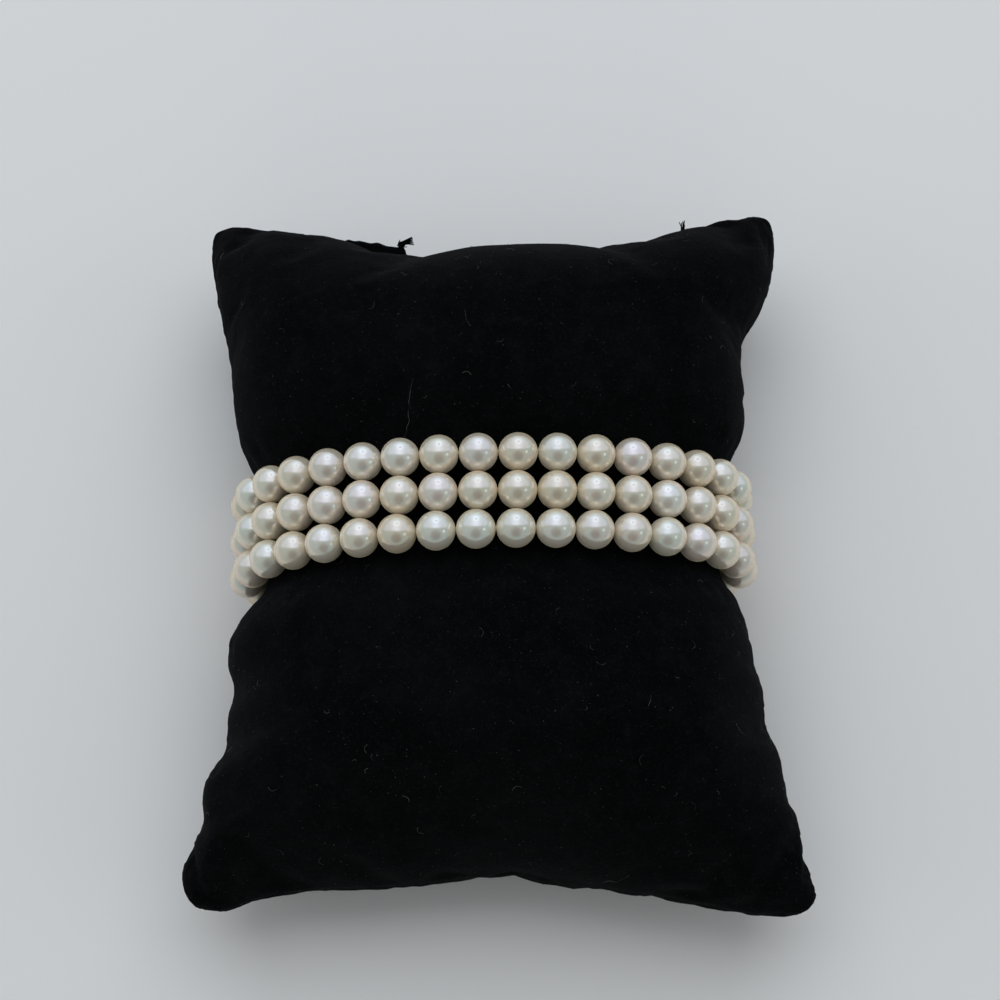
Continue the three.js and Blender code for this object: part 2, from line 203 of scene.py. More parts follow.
# The studio that gloss sees. A spot stands so many degrees up the picture from the camera and to
# its right, is full up to one radius in degrees, and ends at another.
Spot = namedtuple("Spot", "up right full ends strength")
RING_LAMP = Spot(62, 3, 13, 18, 0.4)
RING_HOLE = Spot(62, 3, 3, 9, 0.9)
WINDOW = Spot(-4, 50, 4, 9, 0.9)
CAMERA_SHADE = Spot(-26, 0, 8, 40, 1)
DIFFUSER_LEAN = 90
DIFFUSER_EDGE = (0.18, 0.37)
DIFFUSER_GLOW = 0.36
MIDDLE_EDGE = (0.04, 0.66)
MIDDLE_GLOW = 0.52
HORIZON_EDGE = (-0.1, 0.5)
ROOM_GLOW = 0.38

# The room's even light, and the floor's half width in metres
ROOM_LIGHT = 0.29
FLOOR_REACH = 3


class Wire:
    """A node's output. Arithmetic on it adds the Math node that does the same."""

    def __init__(self, web, socket):
        self.web = web
        self.socket = socket

    def worked(self, operation, *values):
        return self.web.add("ShaderNodeMath", {"operation": operation}, list(values))

    def __add__(self, other):
        return self.worked("ADD", self, other)

    __radd__ = __add__

    def __sub__(self, other):
        return self.worked("SUBTRACT", self, other)

    def __rsub__(self, other):
        return self.worked("SUBTRACT", other, self)

    def __mul__(self, other):
        return self.worked("MULTIPLY", self, other)

    __rmul__ = __mul__

    def smooth(self, low, high):
        """0 up to low, 1 from high on, and softly rising between."""
        values = {"Value": self, "From Min": low, "From Max": high}
        return self.web.add("ShaderNodeMapRange", {"interpolation_type": "SMOOTHSTEP"}, values)

    def beside(self, name):
        """Another output of the same node."""
        return Wire(self.web, self.web.socket_of(self.socket.node.outputs, name))


class Web:
    """The nodes of one material, of the world, or of one set of geometry nodes."""

    def __init__(self, tree):
        self.tree = tree

    def add(self, kind, settings=None, values=None, out=0):
        """A node of a type, its settings, then its sockets' values or wires. Returns one output."""
        node = self.tree.nodes.new(kind)
        for name, value in (settings or {}).items():
            if name == "stops":
                self.set_stops(node.color_ramp, value)
            else:
                setattr(node, name, value)
        pairs = enumerate(values) if isinstance(values, (list, tuple)) else (values or {}).items()
        for key, value in pairs:
            self.feed(self.socket_of(node.inputs, key), value)
        return Wire(self, self.socket_of(node.outputs, out)) if node.outputs else None

    def set_stops(self, ramp, stops):
        while len(ramp.elements) < len(stops):
            ramp.elements.new(1)
        for element, (place, tone) in zip(ramp.elements, stops):
            element.position = place
            element.color = (*tone, 1)

    def socket_of(self, sockets, key):
        if isinstance(key, int):
            return sockets[key]
        return next(s for s in sockets if s.name == key and s.enabled)

    def feed(self, socket, value):
        if isinstance(value, Wire):
            self.tree.links.new(value.socket, socket)
        elif value is not None:
            socket.default_value = value

    def joined(self, kind, *wires):
        """A node whose first socket takes several wires."""
        node = self.tree.nodes.new(kind)
        for wire in reversed(wires):
            self.tree.links.new(wire.socket, node.inputs[0])
        return Wire(self, node.outputs[0])

    def mixed(self, factor, first, second):
        values = {"Factor": factor, "A": first, "B": second}
        return self.add("ShaderNodeMix", {"data_type": "RGBA"}, values, out="Result")


def colour(red, green, blue):
    return (red, green, blue, 1)


def new_material(name):
    material = bpy.data.materials.new(name)
    material.use_nodes = True
    material.node_tree.nodes.clear()
    return material, Web(material.node_tree)


def show(web, values):
    """The surface: one Principled shader and the material's output."""
    shader = web.add("ShaderNodeBsdfPrincipled", None, values)
    web.add("ShaderNodeOutputMaterial", None, {"Surface": shader})


def object_place(web):
    return web.add("ShaderNodeTexCoord", out="Object")


def cloudy(web, place, scale, detail=2, roughness=0.5):
    values = {"Vector": place, "Scale": scale, "Detail": detail, "Roughness": roughness}
    return web.add("ShaderNodeTexNoise", None, values)


def nacre():
    """Cream nacre. Each pearl has its own cast, and its lustre is a clear skin over a soft shine."""
    material, web = new_material("nacre")
    cast = web.add("ShaderNodeAttribute", {"attribute_name": "cast"}, out="Fac")
    depth = web.add("ShaderNodeAttribute", {"attribute_name": "depth"}, out="Fac")
    place = object_place(web)
    drift = cloudy(web, place, 260, 3)
    stops = [
        (0, (0.84, 0.71, 0.55)),
        (0.3, (0.87, 0.77, 0.64)),
        (0.55, (0.87, 0.75, 0.68)),
        (0.8, (0.84, 0.79, 0.68)),
        (1, (0.89, 0.81, 0.72)),
    ]
    body = web.add("ShaderNodeValToRGB", {"stops": stops}, {"Fac": cast + (drift - 0.5) * 0.22})
    shaded = web.mixed(depth * 0.25, body, colour(0.76, 0.63, 0.48))
    skin = cloudy(web, place, 900, 2)
    waves = web.add("ShaderNodeBump", None, {"Strength": 0.3, "Distance": 0.00004, "Height": skin})
    show(
        web,
        {
            "Base Color": shaded,
            "Metallic": 0.4 + (drift - 0.5) * 0.1,
            "Roughness": 0.1 + (skin - 0.5) * 0.05,
            "Normal": waves,
            "IOR": 1.6,
            "Specular Tint": colour(1, 0.78, 0.64),
            "Subsurface Weight": 0.45,
            "Subsurface Radius": (1, 0.75, 0.5),
            "Subsurface Scale": 0.0012,
            "Sheen Weight": 1.0,
            "Sheen Roughness": 0.42,
            "Sheen Tint": colour(1, 0.86, 0.54),
            "Coat Weight": 0.8,
            "Coat Roughness": 0.05,
            "Coat IOR": 1.65,
            "Thin Film Thickness": 420,
            "Thin Film IOR": 1.42,
        },
    )
    return material


def silk():
    """Cream silk, plied and matt, painted darker: brown tones as painted shade for the shade between
    the pearls.
    """
    material, web = new_material("silk")
    place = object_place(web)
    plies = web.add("ShaderNodeTexWave", None, {"Vector": place, "Scale": 2600, "Distortion": 3})
    # Painted shade: both tones are brown rather than cream, for the shade the thread and knots sit in
    # between the pearls.
    tone = web.mixed(plies, colour(0.34, 0.28, 0.20), colour(0.48, 0.41, 0.30))
    twist = web.add("ShaderNodeBump", None, {"Strength": 0.5, "Distance": 0.00005, "Height": plies})
    show(
        web,
        {
            "Base Color": tone,
            "Roughness": 0.6,
            "Normal": twist,
            "Sheen Weight": 0.3,
            "Sheen Roughness": 0.4,
        },
    )
    return material


def silver():
    """Polished silver with faint smudges, brushed along the clasp."""
    material, web = new_material("silver")
    place = object_place(web)
    smudge = cloudy(web, place, 420, 4, 0.6)
    along = web.add("ShaderNodeMapping", None, {"Vector": place, "Scale": (1, 0.06, 1)})
    grain = cloudy(web, along, 9000, 2)
    tone = web.mixed(smudge, colour(0.86, 0.84, 0.80), colour(0.72, 0.70, 0.66))
    brushed = web.add("ShaderNodeBump", None, {"Strength": 0.15, "Distance": 0.00003, "Height": grain})
    show(
        web,
        {
            "Base Color": tone,
            "Metallic": 1.0,
            "Roughness": 0.16 + smudge * 0.16,
            "Normal": brushed,
        },
    )
    return material


def velvet():
    """Short black pile: almost no light comes back, apart from a faint sheen where it leans away."""
    material, web = new_material("velvet")
    place = object_place(web)
    stroked = cloudy(web, place, 46, 4, 0.6)
    crushed = cloudy(web, place, 330, 4, 0.65)
    pile = cloudy(web, place, 2400, 3, 0.75)
    tufts = cloudy(web, place, 700, 2, 0.6)
    brushed = stroked.smooth(0.35, 0.75) * 0.5 + crushed.smooth(0.42, 0.72) * 0.5
    tone = web.mixed(brushed, colour(0.0011, 0.0012, 0.0012), colour(0.0042, 0.0042, 0.0043))
    flecked = web.mixed(pile.smooth(0.52, 0.78) * 0.8, tone, colour(0.0108, 0.0106, 0.0105))
    height = pile * 0.7 + tufts * 0.6
    nap = web.add("ShaderNodeBump", None, {"Strength": 0.85, "Distance": 0.00025, "Height": height})
    show(
        web,
        {
            "Base Color": flecked,
            "Roughness": 1.0,
            "Normal": nap,
            "Specular IOR Level": 0.04,
            "Sheen Weight": 0.01,
            "Sheen Roughness": 0.5,
            "Sheen Tint": colour(0.85, 0.85, 0.85),
        },
    )
    return material


def lint_fibre():
    """Grey dust and fibres, some so faded that they hardly show."""
    material, web = new_material("lint")
    place = object_place(web)
    faded = cloudy(web, place, 700).smooth(0.38, 0.66)
    tone = web.mixed(faded, colour(0.006, 0.006, 0.006), colour(0.105, 0.10, 0.09))
    show(web, {"Base Color": tone, "Roughness": 0.8})
    return material


def paper():
    """The pale floor's matt sheet."""
    material, web = new_material("pale_paper")
    place = object_place(web)
    tone = web.mixed(cloudy(web, place, 3), colour(0.86, 0.83, 0.81), colour(0.90, 0.87, 0.85))
    show(web, {"Base Color": tone, "Roughness": 0.75})
    return material


def link(name, mesh):
    piece = bpy.data.objects.new(name, mesh)
    bpy.context.scene.collection.objects.link(piece)
    return piece


def mesh_from(name, corners, edges=(), faces=()):
    mesh = bpy.data.meshes.new(name)
    mesh.from_pydata([tuple(corner) for corner in corners], list(edges), list(faces))
    mesh.update()
    return mesh


def coordinates(mesh):
    flat = np.zeros(len(mesh.vertices) * 3, np.float32)
    mesh.vertices.foreach_get("co", flat)
    return flat.reshape(-1, 3).astype(float)


def normals(mesh):
    flat = np.zeros(len(mesh.vertices) * 3, np.float32)
    mesh.vertices.foreach_get("normal", flat)
    return flat.reshape(-1, 3).astype(float)


def smoothed(piece):
    piece.data.polygons.foreach_set("use_smooth", [True] * len(piece.data.polygons))
    return piece


def evaluated_mesh(piece):
    depsgraph = bpy.context.evaluated_depsgraph_get()
    depsgraph.update()
    return bpy.data.meshes.new_from_object(piece.evaluated_get(depsgraph), depsgraph=depsgraph)


def grown(name, seedling, tree, sizes):
    """The plain mesh piece that geometry nodes make from a seedling mesh."""
    source = link(name + "_seedling", seedling)
    modifier = source.modifiers.new("grow", "NODES")
    modifier.node_group = tree
    for item in tree.interface.items_tree:
        if item.in_out == "INPUT" and item.name in sizes:
            modifier[item.identifier] = sizes[item.name]
    mesh = evaluated_mesh(source)
    bpy.data.objects.remove(source)
    for slot in reversed(range(len(mesh.materials))):
        if mesh.materials[slot] is None:
            mesh.materials.pop(index=slot)
    mesh.name = name
    return link(name, mesh)


def geometry_tree(name, inputs):
    """A tree with named inputs: each is (name, socket type). Returns its web and its input wires."""
    tree = bpy.data.node_groups.new(name, "GeometryNodeTree")
    tree.interface.new_socket("Geometry", in_out="OUTPUT", socket_type="NodeSocketGeometry")
    tree.interface.new_socket("Geometry", in_out="INPUT", socket_type="NodeSocketGeometry")
    for title, kind in inputs:
        tree.interface.new_socket(title, in_out="INPUT", socket_type=kind)
    web = Web(tree)
    entry = tree.nodes.new("NodeGroupInput")
    wires = {socket.name: Wire(web, socket) for socket in entry.outputs if socket.name}
    return tree, web, wires


def end_tree(web, geometry, material):
    """The tree's last nodes, which make plain geometry with one material."""
    realized = web.add("GeometryNodeRealizeInstances", None, {"Geometry": geometry})
    finished = web.add("GeometryNodeSetMaterial", None, {"Geometry": realized, "Material": material})
    web.add("NodeGroupOutput", None, [finished])


def attribute(web, name, kind="FLOAT"):
    settings = {"data_type": kind}
    return web.add("GeometryNodeInputNamedAttribute", settings, {"Name": name}, out="Attribute")


def random_value(web, low, high, seed, kind="FLOAT"):
    values = {"Min": low, "Max": high, "Seed": seed}
    return web.add("FunctionNodeRandomValue", {"data_type": kind}, values, out="Value")


def round_section(web, sides, radius):
    values = {"Resolution": sides, "Radius": radius}
    return web.add("GeometryNodeCurvePrimitiveCircle", None, values)


def swept(web, line, section, thickness=None):
    """A closed tube along a line, thinned by a thickness at its points where one is given."""
    values = {"Curve": line, "Profile Curve": section, "Fill Caps": True}
    if thickness is not None:
        values["Scale"] = thickness
    return web.add("GeometryNodeCurveToMesh", None, values)


def smooth_shaded(web, geometry):
    values = {"Geometry": geometry, "Shade Smooth": True}
    return web.add("GeometryNodeSetShadeSmooth", None, values)


def pearl_tree(material):
    """A pearl on each point of the thread, turned along it, a little off round and of its own cast."""
    inputs = [
        ("Radius", "NodeSocketFloat"),
        ("Off Round", "NodeSocketFloat"),
        ("Seed", "NodeSocketInt"),
    ]
    tree, web, given = geometry_tree("pearls_on_a_thread", inputs)
    sphere = {"Segments": PEARL_SIDES, "Rings": PEARL_RINGS, "Radius": given["Radius"]}
    pearl = web.add("GeometryNodeMeshUVSphere", None, sphere)
    round_pearl = smooth_shaded(web, pearl)
    way = attribute(web, "way", "FLOAT_VECTOR")
    turn = web.add("FunctionNodeAlignRotationToVector", {"axis": "Z"}, {"Vector": way})
    least = 1 - given["Off Round"]
    most = 1 + given["Off Round"]
    low = web.add("ShaderNodeCombineXYZ", None, [least] * 3)
    high = web.add("ShaderNodeCombineXYZ", None, [most] * 3)
    scale = random_value(web, low, high, given["Seed"], "FLOAT_VECTOR")
    points = {"Points": given["Geometry"], "Instance": round_pearl, "Rotation": turn, "Scale": scale}
    pearls = web.add("GeometryNodeInstanceOnPoints", None, points)
    for title, shift in (("cast", 1), ("depth", 2)):
        chance = random_value(web, 0.0, 1.0, given["Seed"] + shift)
        settings = {"data_type": "FLOAT", "domain": "INSTANCE"}
        values = {"Geometry": pearls, "Name": title, "Value": chance}
        pearls = web.add("GeometryNodeStoreNamedAttribute", settings, values)
    end_tree(web, pearls, material)
    return tree


def silk_tree(material):
    """A round thread along the edges, with a knot at the middle of each edge that has one."""
    inputs = [("Thread Radius", "NodeSocketFloat"), ("Knot Radius", "NodeSocketFloat")]
    tree, web, given = geometry_tree("knotted_silk", inputs)
    line = web.add("GeometryNodeMeshToCurve", None, {"Mesh": given["Geometry"]})
    thread = swept(web, line, round_section(web, THREAD_SIDES, given["Thread Radius"]))
    middles = {"Mesh": given["Geometry"], "Selection": attribute(web, "knotted", "BOOLEAN")}
    spots = web.add("GeometryNodeMeshToPoints", {"mode": "EDGES"}, middles)
    knot = {"Radius": given["Knot Radius"], "Subdivisions": 2}
    ball = web.add("GeometryNodeMeshIcoSphere", None, knot)
    knots = web.add("GeometryNodeInstanceOnPoints", None, {"Points": spots, "Instance": ball})
    both = web.joined("GeometryNodeJoinGeometry", thread, knots)
    end_tree(web, smooth_shaded(web, both), material)
    return tree


def lint_tree(material):
    """Specks of dust and short bent fibres, strewn over a surface by chance."""
    inputs = [
        ("Specks", "NodeSocketFloat"),
        ("Speck Radius", "NodeSocketFloat"),
        ("Fibres", "NodeSocketFloat"),
        ("Fibre Reach", "NodeSocketFloat"),
        ("Fibre Radius", "NodeSocketFloat"),
        ("Lowest", "NodeSocketFloat"),
        ("Seed", "NodeSocketInt"),
    ]
    tree, web, given = geometry_tree("strewn_lint", inputs)
    turn = (math.tau, math.tau, math.tau)
    level = web.add("ShaderNodeSeparateXYZ", None, [web.add("GeometryNodeInputPosition")], out="Z")
    above = level.worked("GREATER_THAN", level, given["Lowest"])

    strewn = {"Mesh": given["Geometry"], "Selection": above}
    strewn.update({"Density": given["Specks"], "Seed": given["Seed"]})
    spots = web.add("GeometryNodeDistributePointsOnFaces", None, strewn, out="Points")
    grain = {"Radius": given["Speck Radius"], "Subdivisions": 1}
    speck = web.add("GeometryNodeMeshIcoSphere", None, grain)
    turned = random_value(web, (0, 0, 0), turn, given["Seed"] + 1, "FLOAT_VECTOR")
    sizes = random_value(web, (0.3, 0.3, 0.4), (0.9, 0.9, 2.6), given["Seed"] + 2, "FLOAT_VECTOR")
    values = {"Points": spots, "Instance": speck, "Rotation": turned, "Scale": sizes}
    specks = web.add("GeometryNodeInstanceOnPoints", None, values)

    strewn.update({"Density": given["Fibres"], "Seed": given["Seed"] + 3})
    starts = web.add("GeometryNodeDistributePointsOnFaces", None, strewn, out="Points")
    bent = {"Resolution": 6, "Start": (-1, 0, 0.06), "Middle": (0.2, 1.1, 0.2), "End": (1, -0.2, 0.04)}
    bow = web.add("GeometryNodeCurveQuadraticBezier", None, bent)
    lengths = random_value(web, 0.3, 1.0, given["Seed"] + 4) * given["Fibre Reach"]
    facing = starts.beside("Rotation")
    values = {"Points": starts, "Instance": bow, "Rotation": facing, "Scale": lengths}
    bows = web.add("GeometryNodeInstanceOnPoints", None, values)
    spin = random_value(web, (0, 0, 0), (0, 0, math.tau), given["Seed"] + 5, "FLOAT_VECTOR")
    values = {"Instances": bows, "Rotation": spin, "Local Space": True}
    spun = web.add("GeometryNodeRotateInstances", None, values)
    lines = web.add("GeometryNodeRealizeInstances", None, {"Geometry": spun})
    fibres = swept(web, lines, round_section(web, LINT_SIDES, given["Fibre Radius"]))
    end_tree(web, web.joined("GeometryNodeJoinGeometry", specks, fibres), material)
    return tree


def thread_tree(material):
    """Fine threads along the edges of a mesh, thinned by their points' thickness."""
    tree, web, given = geometry_tree("fine_threads", [("Radius", "NodeSocketFloat")])
    lines = web.add("GeometryNodeMeshToCurve", None, {"Mesh": given["Geometry"]})
    section = round_section(web, FINE_THREAD_SIDES, given["Radius"])
    threads = swept(web, lines, section, attribute(web, "thickness"))
    end_tree(web, smooth_shaded(web, threads), material)
    return tree


def pearl_centres(node):
    """Centres of a strand's pearls, from the clasp's left over the crown to its right, and the
    pearls' radius. The corners at the strand's outer edge along Y lie beside the centres."""
    low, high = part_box(node)
    radius = (high.y - low.y) / 2
    middle = (low + high) / 2
    corners = coordinates(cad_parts[node].data)
    beside = corners[corners[:, 1] > high.y - radius * PEARL_EDGE_SHARE]
    centres = []
    for x, _, z in beside:
        spot = Vector((x, middle.y, z))
        if all((spot - other).length > radius for other in centres):
            centres.append(spot)
    centres.sort(key=lambda spot: math.atan2(middle.x - spot.x, middle.z - spot.z) % math.tau)
    return centres, radius


def thread_seedling(name, line, ways, first_knot, last_knot):
    """A line of points with the thread's way at each, and its edges that have a knot."""
    edges = [(i, i + 1) for i in range(len(line) - 1)]
    mesh = mesh_from(name, line, edges)
    mesh.attributes.new("way", "FLOAT_VECTOR", "POINT").data.foreach_set("vector", np.ravel(ways))
    knotted = [first_knot <= i <= last_knot for i in range(len(edges))]
    mesh.attributes.new("knotted", "BOOLEAN", "EDGE").data.foreach_set("value", knotted)
    return mesh


def bound_loop(name, centre, material):
    """The thread's bound loop through a lug: a fine ring that stands across the lug."""
    sides = THREAD_SIDES
    corners = []
    faces = []
    for turn in range(BOUND_TURNS):
        round_ring = math.tau * turn / BOUND_TURNS
        coil = BOUND_WIRE_RADIUS * (1 + BOUND_RIDGE * math.cos(turn * math.pi))
        for side in range(sides):
            round_wire = math.tau * side / sides
            reach = BOUND_LOOP_RADIUS + coil * math.cos(round_wire)
            across = coil * math.sin(round_wire)
            corner = Vector((reach * math.cos(round_ring), across, reach * math.sin(round_ring)))
            corners.append(centre + corner)
            here = turn * sides
            there = (turn + 1) % BOUND_TURNS * sides
            following = (side + 1) % sides
            faces.append((here + side, there + side, there + following, here + following))
    mesh = mesh_from(name, corners, (), faces)
    mesh.materials.append(material)
    return smoothed(link(name, mesh))


def joined(name, pieces):
    """One piece from several, in their order, with all their materials."""
    with bpy.context.temp_override(active_object=pieces[0], selected_editable_objects=pieces):
        bpy.ops.object.join()
    pieces[0].name = name
    pieces[0].data.name = name
    return pieces[0]


def make_strand(node, number, pearls, silks, silk_material):
    """One strand in place of its CAD node: pearls, knotted thread and the loops at the lugs."""
    centres, radius = pearl_centres(node)
    ways = [centres[min(i + 1, len(centres) - 1)] - centres[max(i - 1, 0)] for i in range(len(centres))]
    ways = [tuple(way.normalized()) for way in ways]
    sizes = {
        "Radius": radius * PEARL_SNUG,
        "Off Round": PEARL_OFF_ROUND,
        "Seed": PEARL_SEED + PEARL_SEED_STEP * number,
    }
    seedling = thread_seedling(node + "_pearls", centres, ways, 0, len(centres))
    round_pearls = grown(node + "_pearls", seedling, pearls, sizes)

    clasp_low, clasp_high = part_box("clasp")
    level = (clasp_low.z + clasp_high.z) / 2
    across = LUG_RADIUS + LOOP_PAST_LUG
    left_loop = Vector((clasp_low.x + LUG_RADIUS - across + BOUND_LOOP_RADIUS, centres[0].y, level))
    right_loop = Vector((clasp_high.x - LUG_RADIUS + across - BOUND_LOOP_RADIUS, centres[0].y, level))
    outward = Vector((BOUND_LOOP_RADIUS + BOUND_WIRE_RADIUS, 0, 0))
    line = [left_loop - outward, *centres, right_loop + outward]
    silk_ways = [(1, 0, 0)] * len(line)
    silk_seedling = thread_seedling(node + "_silk", line, silk_ways, 1, len(line) - 3)
    sizes = {"Thread Radius": THREAD_RADIUS, "Knot Radius": KNOT_RADIUS}
    thread = grown(node + "_silk", silk_seedling, silks, sizes)
    loops = [
        bound_loop(node + "_left_loop", left_loop, silk_material),
        bound_loop(node + "_right_loop", right_loop, silk_material),
    ]
    strand = joined("pearls_" + node.split("_")[1], [round_pearls, thread, *loops])
    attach(strand, "root")
    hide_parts(node)


def merged_quads(node):
    """A copy of a CAD node's mesh, with its loose triangles merged and paired."""
    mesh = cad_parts[node].data.copy()
    shape = bmesh.new()
    shape.from_mesh(mesh)
    bmesh.ops.remove_doubles(shape, verts=shape.verts, dist=SAME_PLACE)
    bmesh.ops.join_triangles(
        shape, faces=shape.faces, angle_face_threshold=math.pi, angle_shape_threshold=math.pi
    )
    shape.to_mesh(mesh)
    shape.free()
    mesh.materials.clear()
    return mesh


def seam_line(places):
    """The pillow's seam as a closed line: its widest place seen from above, in each direction."""
    turn = np.arctan2(places[:, 1], places[:, 0])
    reach = np.hypot(places[:, 0], places[:, 1])
    slot = ((turn + math.pi) / math.tau * SEAM_STEPS).astype(int) % SEAM_STEPS
    line = []
    for step in range(SEAM_STEPS):
        here = np.flatnonzero((slot - step + 1) % SEAM_STEPS < SEAM_WINDOW)
        if len(here):
            line.append(places[here[np.argmax(reach[here])]])
    line = np.array(line)
    shifts = range(-SEAM_SPREAD, SEAM_SPREAD + 1)
    return sum(np.roll(line, shift, 0) for shift in shifts) / len(shifts)


def ridged(value):
    """Noise folded over into sharp ridges."""
    return 1 - 2 * abs(value)


def fading(distance, reach):
    """1 at no distance, and softly down to nothing past the reach."""
    return math.exp(-((distance / reach) ** 2))


def subdivided(name, mesh, levels):
    piece = link(name, mesh)
    smooth = piece.modifiers.new("smooth", "SUBSURF")
    smooth.levels = levels
    smooth.render_levels = levels
    finer = evaluated_mesh(piece)
    bpy.data.objects.remove(piece)
    return finer


def search_tree(spots):
    tree = KDTree(len(spots))
    for i, spot in enumerate(spots):
        tree.insert(spot, i)
    tree.balance()
    return tree


def stuffed(mesh, held):
    """Moves a mesh as its filling blows out the velvet, which is cut a little large. Where held
    is 1 it stays as it is: at the seams, and under the strands."""
    free = (1 - held)[:, None]
    form = coordinates(mesh)
    start = form - normals(mesh) * START_SINK * free
    mesh.vertices.foreach_set("co", (start * CLOTH_SCALE).astype(np.float32).ravel())
    piece = link("pillow_cloth", mesh)
    group = piece.vertex_groups.new(name="held")
    for i, weight in enumerate(held):
        group.add([i], float(weight), "REPLACE")
    cloth = piece.modifiers.new("cloth", "CLOTH")
    cloth.collision_settings.use_collision = False
    settings = cloth.settings
    settings.quality = CLOTH_QUALITY
    settings.bending_stiffness = CLOTH_STIFFNESS
    settings.use_pressure = True
    settings.uniform_pressure_force = CLOTH_PRESSURE
    settings.effector_weights.gravity = 0
    settings.vertex_group_mass = group.name
    settings.shrink_min = -SPARE_CLOTH
    for step in range(1, CLOTH_FRAMES + 1):
        bpy.context.scene.frame_set(step)
    blown = coordinates(evaluated_mesh(piece)) / CLOTH_SCALE
    bpy.context.scene.frame_set(1)
    bpy.data.objects.remove(piece)
    move = blown - form
    length = np.maximum(np.linalg.norm(move, axis=1), 1e-9)[:, None]
    form += move * np.minimum(1, MOST_SWELL / length)
    mesh.vertices.foreach_set("co", form.astype(np.float32).ravel())
    mesh.update()


def make_pillow(material):
    """The velvet pillow: its CAD form, stuffed, then sewn, puckered and gathered."""
    mesh = subdivided("pillow_form", merged_quads("display_pillow"), FORM_LEVELS)
    places = coordinates(mesh)
    tree = search_tree(seam_line(places))
    band_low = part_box(STRANDS[-1])[0].y
    band_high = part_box(STRANDS[0])[1].y
    held = np.zeros(len(places))
    for i, place in enumerate(places):
        away = tree.find(place)[2]
        past = max(band_low - place[1], place[1] - band_high, 0)
        held[i] = max(fading(away, HELD_AT_SEAM), fading(past, HELD_BY_STRANDS))
    stuffed(mesh, np.where(held > HELD_FAST, 1, held))
    mesh = subdivided("pillow_velvet", mesh, 1)

    places = coordinates(mesh)
    outward = normals(mesh)
    seam = seam_line(places)
    lengths = np.linalg.norm(np.roll(seam, -1, 0) - seam, axis=1)
    along_seam = np.concatenate([[0], np.cumsum(lengths)[:-1]])
    tree = search_tree(seam)
    moved = np.zeros(len(places))
    for i, place in enumerate(places):
        _, nearest, away = tree.find(place)
        sewn = along_seam[nearest] / PUCKER_LENGTH
        side = math.copysign(1, outward[i][2])
        pucker = ridged(noise.noise(Vector((sewn, away / PUCKER_REACH, side))))
        step = -SEAM_DEPTH * fading(away, SEAM_WIDTH)
        step += PUCKER_HEIGHT * (pucker - PUCKER_SINK) * math.exp(-away / PUCKER_REACH)
        past = max(band_low - place[1], place[1] - band_high, 0)
        gather = noise.noise(Vector((place[0] / GATHER_WIDTH, place[1] / GATHER_LENGTH, side * 3)))
        step += GATHER_HEIGHT * gather * math.exp(-past / GATHER_REACH) * min(1, past / GATHER_START)
        sway = noise.noise(Vector(place) / SWAY_LENGTH + SWAY_PLACE)
        step += SWAY_HEIGHT * sway * min(1, past / SWAY_START)
        moved[i] = step
    places += outward * moved[:, None]
    places[:, 2] = np.maximum(places[:, 2], cad_low.z)
    mesh.vertices.foreach_set("co", places.astype(np.float32).ravel())
    mesh.update()
    mesh.materials.append(material)
    pillow = smoothed(link("velvet_pillow", mesh))
    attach(pillow, "root")
    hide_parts("display_pillow")
    return pillow


def thread_lines(name, lines, thicknesses):
    """One mesh of open lines of points, with each line's thickness at its points."""
    corners = []
    edges = []
    for line in lines:
        first = len(corners)
        corners.extend(line)
        edges.extend((first + i, first + i + 1) for i in range(len(line) - 1))
    mesh = mesh_from(name, corners, edges)
    mesh.attributes.new("thickness", "FLOAT", "POINT").data.foreach_set("value", np.ravel(thicknesses))
    return mesh


def far_seam(pillow, across):
    """The far seam's place at a distance across the pillow."""
    seam = seam_line(coordinates(pillow.data))
    far = seam[seam[:, 1] > seam[:, 1].max() * FAR_SEAM_SHARE]
    return Vector(far[np.argmin(abs(far[:, 0] - across))])


